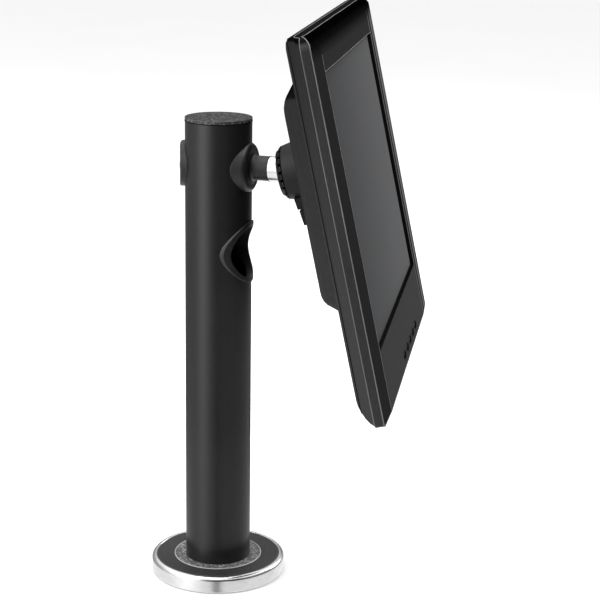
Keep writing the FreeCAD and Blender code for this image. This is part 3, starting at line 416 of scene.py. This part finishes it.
FINISH = {
    "pole_paint": moulded("pole_paint", BLACK, RUBBED, (0.30, 0.36), 0.00045, 0.00002, 0.0005),
    "cap_plastic": moulded("cap_plastic", (0.014, 0.014, 0.015), (0.17, 0.17, 0.175),
                           (0.5, 0.62), 0.0011, 0.00016, 0.0006, 0.35,
                           shine=(0.06, 0.4), flecks=0.6),
    "trim_chrome": turned_metal("trim_chrome", (0.93, 0.93, 0.94), (0.13, 0.24)),
    "disc_plastic": moulded("disc_plastic", (0.009, 0.009, 0.0095), (0.09, 0.09, 0.095),
                            (0.5, 0.6), 0.0007, 0.00010, 0.0008, shine=(0.3, 0.45), flecks=0.25),
    "seat_plastic": moulded("seat_plastic", (0.045, 0.045, 0.047), (0.42, 0.42, 0.43),
                            (0.42, 0.52), 0.0008, 0.00014, 0.0005, flecks=0.8),
    "steel": turned_metal("steel", (0.60, 0.61, 0.62), (0.28, 0.42)),
    "stud_steel": turned_metal("stud_steel", (0.92, 0.92, 0.93), (0.16, 0.28), (0, 1, 0)),
    "pad_rubber": moulded("pad_rubber", (0.012, 0.012, 0.012), (0.05, 0.05, 0.05),
                          (0.7, 0.85), 0.0006, 0.00012, 0.0006),
    "grommet_plastic": moulded("grommet_plastic", (0.008, 0.008, 0.0085), (0.07, 0.07, 0.074),
                               (0.30, 0.36), 0.0005, 0.00002, 0.0006),
    "arm_paint": moulded("arm_paint", (0.0055, 0.0055, 0.0058), (0.048, 0.048, 0.051),
                         (0.32, 0.40), 0.00045, 0.00003, 0.0007, shine=(0.42, 0.36)),
    "joint_plastic": moulded("joint_plastic", (0.010, 0.010, 0.011), (0.07, 0.07, 0.075),
                             (0.40, 0.50), 0.0005, 0.00005, 0.0005),
    "head_plastic": moulded("head_plastic", (0.0045, 0.0045, 0.0048), (0.036, 0.036, 0.039),
                            (0.42, 0.52), 0.0005, 0.00006, 0.0006, shine=(0.15, 0.22)),
    # the adjusting ring, with painted shade in its grip notches
    "ring_plastic": moulded("ring_plastic", (0.004, 0.004, 0.0043), (0.07, 0.07, 0.074),
                            (0.36, 0.44), 0.0005, 0.00004, 0.0005, shine=(0.2, 0.22),
                            painted_shade_mask=notch_painted_shade),
    # painted shade on faces that look up and towards the display's top
    "shell_plastic": moulded("shell_plastic", SHELL, SHELL_WORN,
                             (0.42, 0.50), 0.0006, 0.00005, 0.0006, shine=(0.17, 0.28),
                             top_painted_shade=(0.06, 0.32, 0.04), painted_shade_mask=shell_shade),
    # a copy of the shell finish with painted shade on the hump's slope
    "hump_plastic": moulded("hump_plastic", SHELL, SHELL_WORN,
                            (0.42, 0.50), 0.0006, 0.00005, 0.0006, shine=(0.17, 0.28),
                            top_painted_shade=(0.06, 0.32, 0.04), painted_shade_mask=hump_slope_painted_shade),
    # painted tones where the bezel is seen edge on, and painted shade on faces that look up
    "bezel_plastic": moulded("bezel_plastic", (0.0070, 0.0070, 0.0074), (0.10, 0.10, 0.107),
                             (0.34, 0.42), 0.0005, 0.00002, 0.0007, shine=(0.0, 0.42),
                             grazing_tone_paint=bezel_sheen_and_shade_paint, top_painted_shade=(0.4, 0.65, 0.05)),
    "key_plastic": moulded("key_plastic", (0.003, 0.003, 0.0033), (0.014, 0.014, 0.015),
                           (0.30, 0.38), 0.0004, 0.00002, 0.0003, shine=(0.0, 0.30)),
    "screw_steel": turned_metal("screw_steel", (0.42, 0.43, 0.45), (0.24, 0.36), (0, 0, 1)),
    "screen_glass": coated_glass("screen_glass"),
    "panel_face": moulded("panel_face", (0.02, 0.02, 0.024), (0.06, 0.06, 0.07),
                          (0.18, 0.25), 0.0006, 0.00001, 0.0004),
    "tray_steel": turned_metal("tray_steel", (0.55, 0.57, 0.58), (0.32, 0.45), (1, 0, 0), fine=900),
    "board_green": circuit("board_green"),
    "foam": soft_foam("foam"),
    # bead finishes paler than the mouldings: painted highlights along edges, seams and rims
    "mid_painted_highlight": moulded("mid_painted_highlight", (0.115, 0.115, 0.12), (0.22, 0.22, 0.225),
                             (0.24, 0.34), 0.0004, 0.00001, 0.0002),
    "dim_painted_highlight": moulded("dim_painted_highlight", (0.035, 0.035, 0.037), (0.09, 0.09, 0.095),
                         (0.32, 0.42), 0.0004, 0.00001, 0.0002),
    "bright_painted_highlight": moulded("bright_painted_highlight", (0.42, 0.42, 0.43), (0.6, 0.6, 0.61),
                           (0.24, 0.34), 0.0004, 0.00001, 0.0002),
    "shadow_black": moulded("shadow_black", (0.0012, 0.0012, 0.0012), (0.004, 0.004, 0.004),
                            (0.7, 0.85), 0.0005, 0.00003, 0.0002, shine=(0.0, 0.1)),
}


def slot_of(node_name):
    """The record's material slot of a CAD node."""
    for part in frame["record"]["subparts"]:
        if part["node"] == node_name:
            return part["material_slot"]
    raise KeyError(node_name)


def dress(thing, slot_name):
    """Gives every material slot of a piece the finish of that name."""
    if not thing.data.materials:
        thing.data.materials.append(FINISH[slot_name])
    for slot in thing.material_slots:
        slot.material = FINISH[slot_name]


for node_name, thing in NODES.items():
    dress(thing, slot_of(node_name))
dress(NODES["adjusting_ring"], "ring_plastic")
# the rear cover takes the copy with painted shade on its hump's slope
dress(NODES["rear_cover"], "hump_plastic")


# ----------------------------------------------------------------- beads, painted highlights and the painted shade sheet


def in_head(node_name):
    """A CAD node's corners in the display's own axes: across, out, up."""
    back = HEAD.inverted()
    return [back @ corner.co for corner in NODES[node_name].data.vertices]


def hull(points):
    """Convex outline of flat points, anticlockwise."""
    points = sorted(set((round(x, 6), round(y, 6)) for x, y in points))

    def half(run):
        line = []
        for p in run:
            while len(line) > 1:
                a, b = line[-2], line[-1]
                if (b[0] - a[0]) * (p[1] - a[1]) - (b[1] - a[1]) * (p[0] - a[0]) > 1e-10:
                    break
                line.pop()
            line.append(p)
        return line[:-1]

    return half(points) + half(points[::-1])


def distance_to_outline(point, outline):
    """How far a flat point is from a closed outline."""
    best = 1.0
    for a, b in zip(outline, outline[1:] + outline[:1]):
        a, b, p = Vector(a), Vector(b), Vector(point)
        run = b - a
        share = max(0.0, min(1.0, (p - a).dot(run) / max(run.length_squared, 1e-12)))
        best = min(best, (p - a - share * run).length)
    return best


def wall_edge(node_name, front=True):
    """The front or rear edge of a moulding's outer wall, as a closed run of points."""
    corners = in_head(node_name)
    rear = min(c.y for c in corners)
    if not front:
        corners = [c for c in corners if c.y < rear + 0.0002]
    outline = hull([(c.x, c.z) for c in corners])
    if front:
        corners = [c for c in corners if c.y > rear + 0.0005]
    found = {}
    for c in corners:
        if distance_to_outline((c.x, c.z), outline) > 0.00012:
            continue
        key = (round(c.x, 4), round(c.z, 4))
        if key not in found or (c.y > found[key].y) == front:
            found[key] = c
    middle = sum((p.z for p in found.values()), 0.0) / len(found)
    return sorted(found.values(), key=lambda p: math.atan2(p.z - middle, p.x))


def tube(name, path, radius, closed=True, space=HEAD):
    """A round bead swept along points given in the display's own axes, or another space's."""
    data = bpy.data.curves.new(name, "CURVE")
    data.dimensions = "3D"
    data.bevel_depth = radius
    data.bevel_resolution = 3
    data.use_fill_caps = True
    run = data.splines.new("POLY")
    run.points.add(len(path) - 1)
    for spot, point in zip(run.points, path):
        spot.co = (*(space @ Vector(point)), 1)
    run.use_cyclic_u = closed
    carrier = bpy.data.objects.new(name + "_path", data)
    bpy.context.scene.collection.objects.link(carrier)
    bpy.context.view_layer.update()
    mesh = bpy.data.meshes.new_from_object(carrier)
    bpy.data.objects.remove(carrier)
    mesh.name = name
    for face in mesh.polygons:
        face.use_smooth = True
    bead = bpy.data.objects.new(name, mesh)
    bpy.context.scene.collection.objects.link(bead)
    return bead


def attach(piece, body, finish):
    """Dresses a piece and lets it ride on a body."""
    piece.data.materials.clear()
    piece.data.materials.append(FINISH[finish])
    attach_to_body(piece, body)


def opening():
    """The screen's opening: half width, bottom, top, and the glass and front depths."""
    lip_reach = 0.156
    lip_bottom, lip_top = -0.14, 0.10
    bezel = in_head("front_bezel")
    front = max(c.y for c in bezel)
    lip = [c for c in bezel if c.y > front - 0.0001 and abs(c.x) < lip_reach]
    inside = [c for c in lip if lip_bottom < c.z < lip_top]
    half = max(abs(c.x) for c in inside)
    edge = [c.z for c in inside if abs(abs(c.x) - half) < 0.0002]
    glass = max(c.y for c in in_head("touch_glass"))
    return half, min(edge), max(edge), glass, front


def make_opening_shade():
    """A dull black sheet of painted shade that lines the bezel's opening down to the glass."""
    half, low, high, glass, front = opening()
    steps = [(0.0, front - 0.00005), (0.0005, front - 0.0003), (0.0010, glass + 0.0002),
             (0.0010, glass + 0.00003), (-0.0002, glass + 0.00003), (-0.0002, front - 0.0006)]
    bm = bmesh.new()
    rings = []
    for inset, depth in steps:
        wide = half - inset
        places = [(-wide, low + inset), (wide, low + inset), (wide, high - inset), (-wide, high - inset)]
        rings.append([bm.verts.new(HEAD @ Vector((x, depth, z))) for x, z in places])
    for one, other in zip(rings, rings[1:] + rings[:1]):
        for i in range(4):
            j = (i + 1) % 4
            bm.faces.new((one[i], one[j], other[j], other[i]))
    bmesh.ops.recalc_face_normals(bm, faces=bm.faces)
    mesh = bpy.data.meshes.new("opening_shade_sheet")
    bm.to_mesh(mesh)
    bm.free()
    shade_cover = bpy.data.objects.new("opening_shade_sheet", mesh)
    bpy.context.scene.collection.objects.link(shade_cover)
    attach(shade_cover, "display", "shadow_black")


def make_display_beads():
    """Fine rounded beads with painted highlights along the display's seams, and the dark seam behind."""
    face = tube("bezel_edge_bead", wall_edge("front_bezel"), 0.00042)
    attach(face, "display", "mid_painted_highlight")
    seam = tube("mid_seam_bead", wall_edge("mid_frame"), 0.00036)
    attach(seam, "display", "mid_painted_highlight")
    back = wall_edge("mid_frame", front=False)
    attach(tube("back_seam_bead", back, 0.00045), "display", "shadow_black")
    # a dim painted highlight along the ridge beside the dark seam
    ridge = [(p.x * 1.0012, p.y + 0.0013, p.z * 1.0012) for p in back]
    attach(tube("back_ridge_bead", ridge, 0.00035), "display", "dim_painted_highlight")


def make_face_beads():
    """Painted highlight beads on the creases beside the screen and the edge of the brow above it."""
    half, _, high, _, front = opening()
    bottom = min(c.z for c in in_head("front_bezel")) + 0.0006
    # the near crease gets the stronger painted highlight, the far one a dim one
    creases = (("left_crease_bead", -1, "mid_painted_highlight"), ("right_crease_bead", 1, "dim_painted_highlight"))
    for name, side, finish in creases:
        across = side * (half + 0.0004)
        path = [(across, front - 0.00012, bottom), (across, front - 0.00012, high + 0.014)]
        attach(tube(name, path, 0.0003, closed=False), "display", finish)
    path = [(x, front - 0.0001, high + 0.0003) for x in (-half, half)]
    brow = tube("brow_bead", path, 0.00035, closed=False)
    attach(brow, "display", "mid_painted_highlight")


def hoop(radius, level, count=96):
    """Points round the Z axis at one height."""
    turns = [2 * math.pi * i / count for i in range(count)]
    return [(radius * math.cos(t), radius * math.sin(t), level) for t in turns]


def rim_of(node_name):
    """The outer radius and top height of a round CAD node on the Z axis."""
    corners = [corner.co for corner in NODES[node_name].data.vertices]
    top = max(c.z for c in corners)
    radius = max(math.hypot(c.x, c.y) for c in corners if c.z > top - 0.0004)
    return radius, top


def make_rim_bead(name, node_name, inset, drop, thickness, finish):
    """A round bead on a CAD node's top rim."""
    radius, top = rim_of(node_name)
    bead = tube(name, hoop(radius - inset, top - drop), thickness, space=WORLD)
    attach(bead, "stand", finish)


def make_stand_beads():
    """Painted highlight beads on the rims of the cap, the seat ring and the disc, and the cap's dark seam.
    """
    make_rim_bead("cap_rim_bead", "pole_cap", 0.0001, 0.0002, 0.0003, "dim_painted_highlight")
    make_rim_bead("cap_seam_bead", "pole_tube", 0.00005, 0, 0.00045, "shadow_black")
    make_rim_bead("seat_rim_bead", "pole_seat_ring", 0.0001, 0.0002, 0.0005,
                  "bright_painted_highlight")
    make_rim_bead("disc_rim_bead", "base_cover_disc", 0.0003, 0.0002, 0.0004,
                  "dim_painted_highlight")


def make_collar_seam():
    """A dark seam between the painted stub and the bright collar."""
    corners = [corner.co for corner in NODES["arm_boss"].data.vertices]
    end = min(c.y for c in corners)
    middle = HEAD.col[3].z
    radius = max(math.hypot(c.x, c.z - middle) for c in corners if c.y < end + 0.0001)
    path = [(x, end, middle + z) for x, z, _ in hoop(radius - 0.0001, 0)]
    seam = tube("collar_seam_bead", path, 0.00055, space=WORLD)
    attach(seam, "stand", "shadow_black")


make_opening_shade()
make_display_beads()
make_face_beads()
make_stand_beads()
make_collar_seam()


# ------------------------------------------------------------- floor and light


def make_floor():
    """A wide pale sweep that the base stands on."""
    mesh = bpy.data.meshes.new("floor")
    bm = bmesh.new()
    bmesh.ops.create_grid(bm, x_segments=24, y_segments=24, size=14)
    bm.to_mesh(mesh)
    bm.free()
    floor = bpy.data.objects.new("floor", mesh)
    floor.location = (0, 0, -0.0002)
    bpy.context.scene.collection.objects.link(floor)
    material = new_material("floor_paper")
    tree = material.node_tree
    place = own_place(tree)
    cloud = noise(tree, place, 3, 3.0)
    colour = mixed(tree, cloud, (0.91, 0.91, 0.915), (0.94, 0.94, 0.94))
    bump = add(tree, "Bump", {"Height": noise(tree, place, 900), "Distance": 0.00003})
    finish_shader(material, colour, stretch(tree, cloud, 0, 1, 0.75, 0.85), bump.outputs[0])
    mesh.materials.append(material)
    floor.visible_glossy = False


# Brightness round the horizon: (share of a full turn from -X by way of -Y, level).
SURROUND = [
    (0.0, 0.10), (0.03, 0.04), (0.13, 0.05), (0.24, 0.16), (0.35, 0.34), (0.43, 0.60), (0.49, 0.16),
    (0.55, 0.24), (0.70, 0.40), (0.82, 0.75), (0.905, 3.00), (0.96, 1.40), (0.985, 0.35),
]
WORLD_STRENGTH = 3.0


def horizon_ramp(tree, share):
    """The surround's brightness in one direction along the horizon."""
    node = add(tree, "ValToRGB", {"Fac": share})
    ramp = node.color_ramp
    ramp.interpolation = "EASE"
    while len(ramp.elements) < len(SURROUND):
        ramp.elements.new(0.5)
    for element, (where, level) in zip(ramp.elements, SURROUND):
        grey = level / WORLD_STRENGTH
        element.position = where
        element.color = (grey, grey, grey, 1)
    return node.outputs[0]


def make_world():
    """Plain studio surround: white behind the object, softer and darker towards the front right."""
    world = bpy.data.worlds.new("studio")
    bpy.context.scene.world = world
    world.use_nodes = True
    tree = world.node_tree
    tree.nodes.clear()
    direction = add(tree, "TexCoord").outputs["Generated"]
    parts = add(tree, "SeparateXYZ", {0: direction})
    turn = maths(tree, "ARCTAN2", parts.outputs[1], parts.outputs[0])
    share = stretch(tree, turn, -math.pi, math.pi)
    dim = stretch(tree, parts.outputs[2], -0.38, -0.12, 0.32, 1.0)
    sides = mixed(tree, dim, (0, 0, 0), horizon_ramp(tree, share))
    above = stretch(tree, parts.outputs[2], 0.30, 0.62)
    below = stretch(tree, parts.outputs[2], -0.355, -0.395)
    gap = maths(tree, "ABSOLUTE", maths(tree, "SUBTRACT", share, 0.047))
    below = maths(tree, "MULTIPLY", below, stretch(tree, gap, 0.008, 0.03, 0.25, 1.0))
    open_part = maths(tree, "MAXIMUM", above, below)
    surround = mixed(tree, open_part, sides, (0.38, 0.38, 0.38))
    glow = add(tree, "Background", {"Color": surround, "Strength": WORLD_STRENGTH})
    white = add(tree, "Background", {"Color": (1, 1, 1, 1), "Strength": 1.0})
    path = add(tree, "LightPath")
    both = add(tree, "MixShader", {0: path.outputs["Is Camera Ray"]})
    tree.links.new(glow.outputs[0], both.inputs[1])
    tree.links.new(white.outputs[0], both.inputs[2])
    out = add(tree, "OutputWorld")
    tree.links.new(both.outputs[0], out.inputs[0])


def softbox(name, place, target, width, height, power):
    """A large, even lamp aimed at a point."""
    data = bpy.data.lights.new(name, "AREA")
    data.shape = "RECTANGLE"
    data.size = width
    data.size_y = height
    data.energy = power
    lamp = bpy.data.objects.new(name, data)
    bpy.context.scene.collection.objects.link(lamp)
    lamp.location = place
    lamp.rotation_mode = "QUATERNION"
    lamp.rotation_quaternion = (Vector(target) - Vector(place)).to_track_quat("-Z", "Y")
    lamp.visible_camera = False


make_floor()
make_world()
softbox("key_light", (-1.3, 1.5, 1.5), (0, 0, 0.3), 1.2, 1.6, 26)
softbox("rim_light", (1.6, -1.4, 1.2), (0, 0, 0.3), 1.0, 1.6, 26)
softbox("top_light", (0.0, -0.2, 2.2), (0, 0, 0.2), 1.8, 1.8, 30)


# ---------------------------------------------------------------------- camera


def make_camera():
    """Stands at the height and side that show the display nearly edge on."""
    distance = 1.50673
    height = 0.66116
    side = math.radians(-70.58)
    yaw = math.radians(3.07)
    pitch = math.radians(14.53)
    roll = math.radians(0.86)
    up = Vector((0, 0, 1))
    place = Vector((math.sin(side) * distance, -math.cos(side) * distance, height))
    ahead = Vector((-math.sin(side), math.cos(side), 0))
    right = ahead.cross(up)
    ahead = math.cos(yaw) * ahead + math.sin(yaw) * right
    right = ahead.cross(up)
    look = math.cos(pitch) * ahead - math.sin(pitch) * up
    above = right.cross(look)
    across = math.cos(roll) * right + math.sin(roll) * above
    above = math.cos(roll) * above - math.sin(roll) * right
    data = bpy.data.cameras.new("camera")
    data.sensor_width = 36
    data.lens = 102.575
    data.shift_x = -0.0119
    data.shift_y = -0.0146
    data.clip_start = 0.05
    data.clip_end = 60
    camera = bpy.data.objects.new("camera", data)
    bpy.context.scene.collection.objects.link(camera)
    camera.matrix_world = Matrix((
        (across.x, above.x, -look.x, place.x),
        (across.y, above.y, -look.y, place.y),
        (across.z, above.z, -look.z, place.z),
        (0, 0, 0, 1),
    ))
    bpy.context.scene.camera = camera


make_camera()
bpy.context.scene.view_settings.view_transform = "Standard"
bpy.context.scene.view_settings.look = "None"
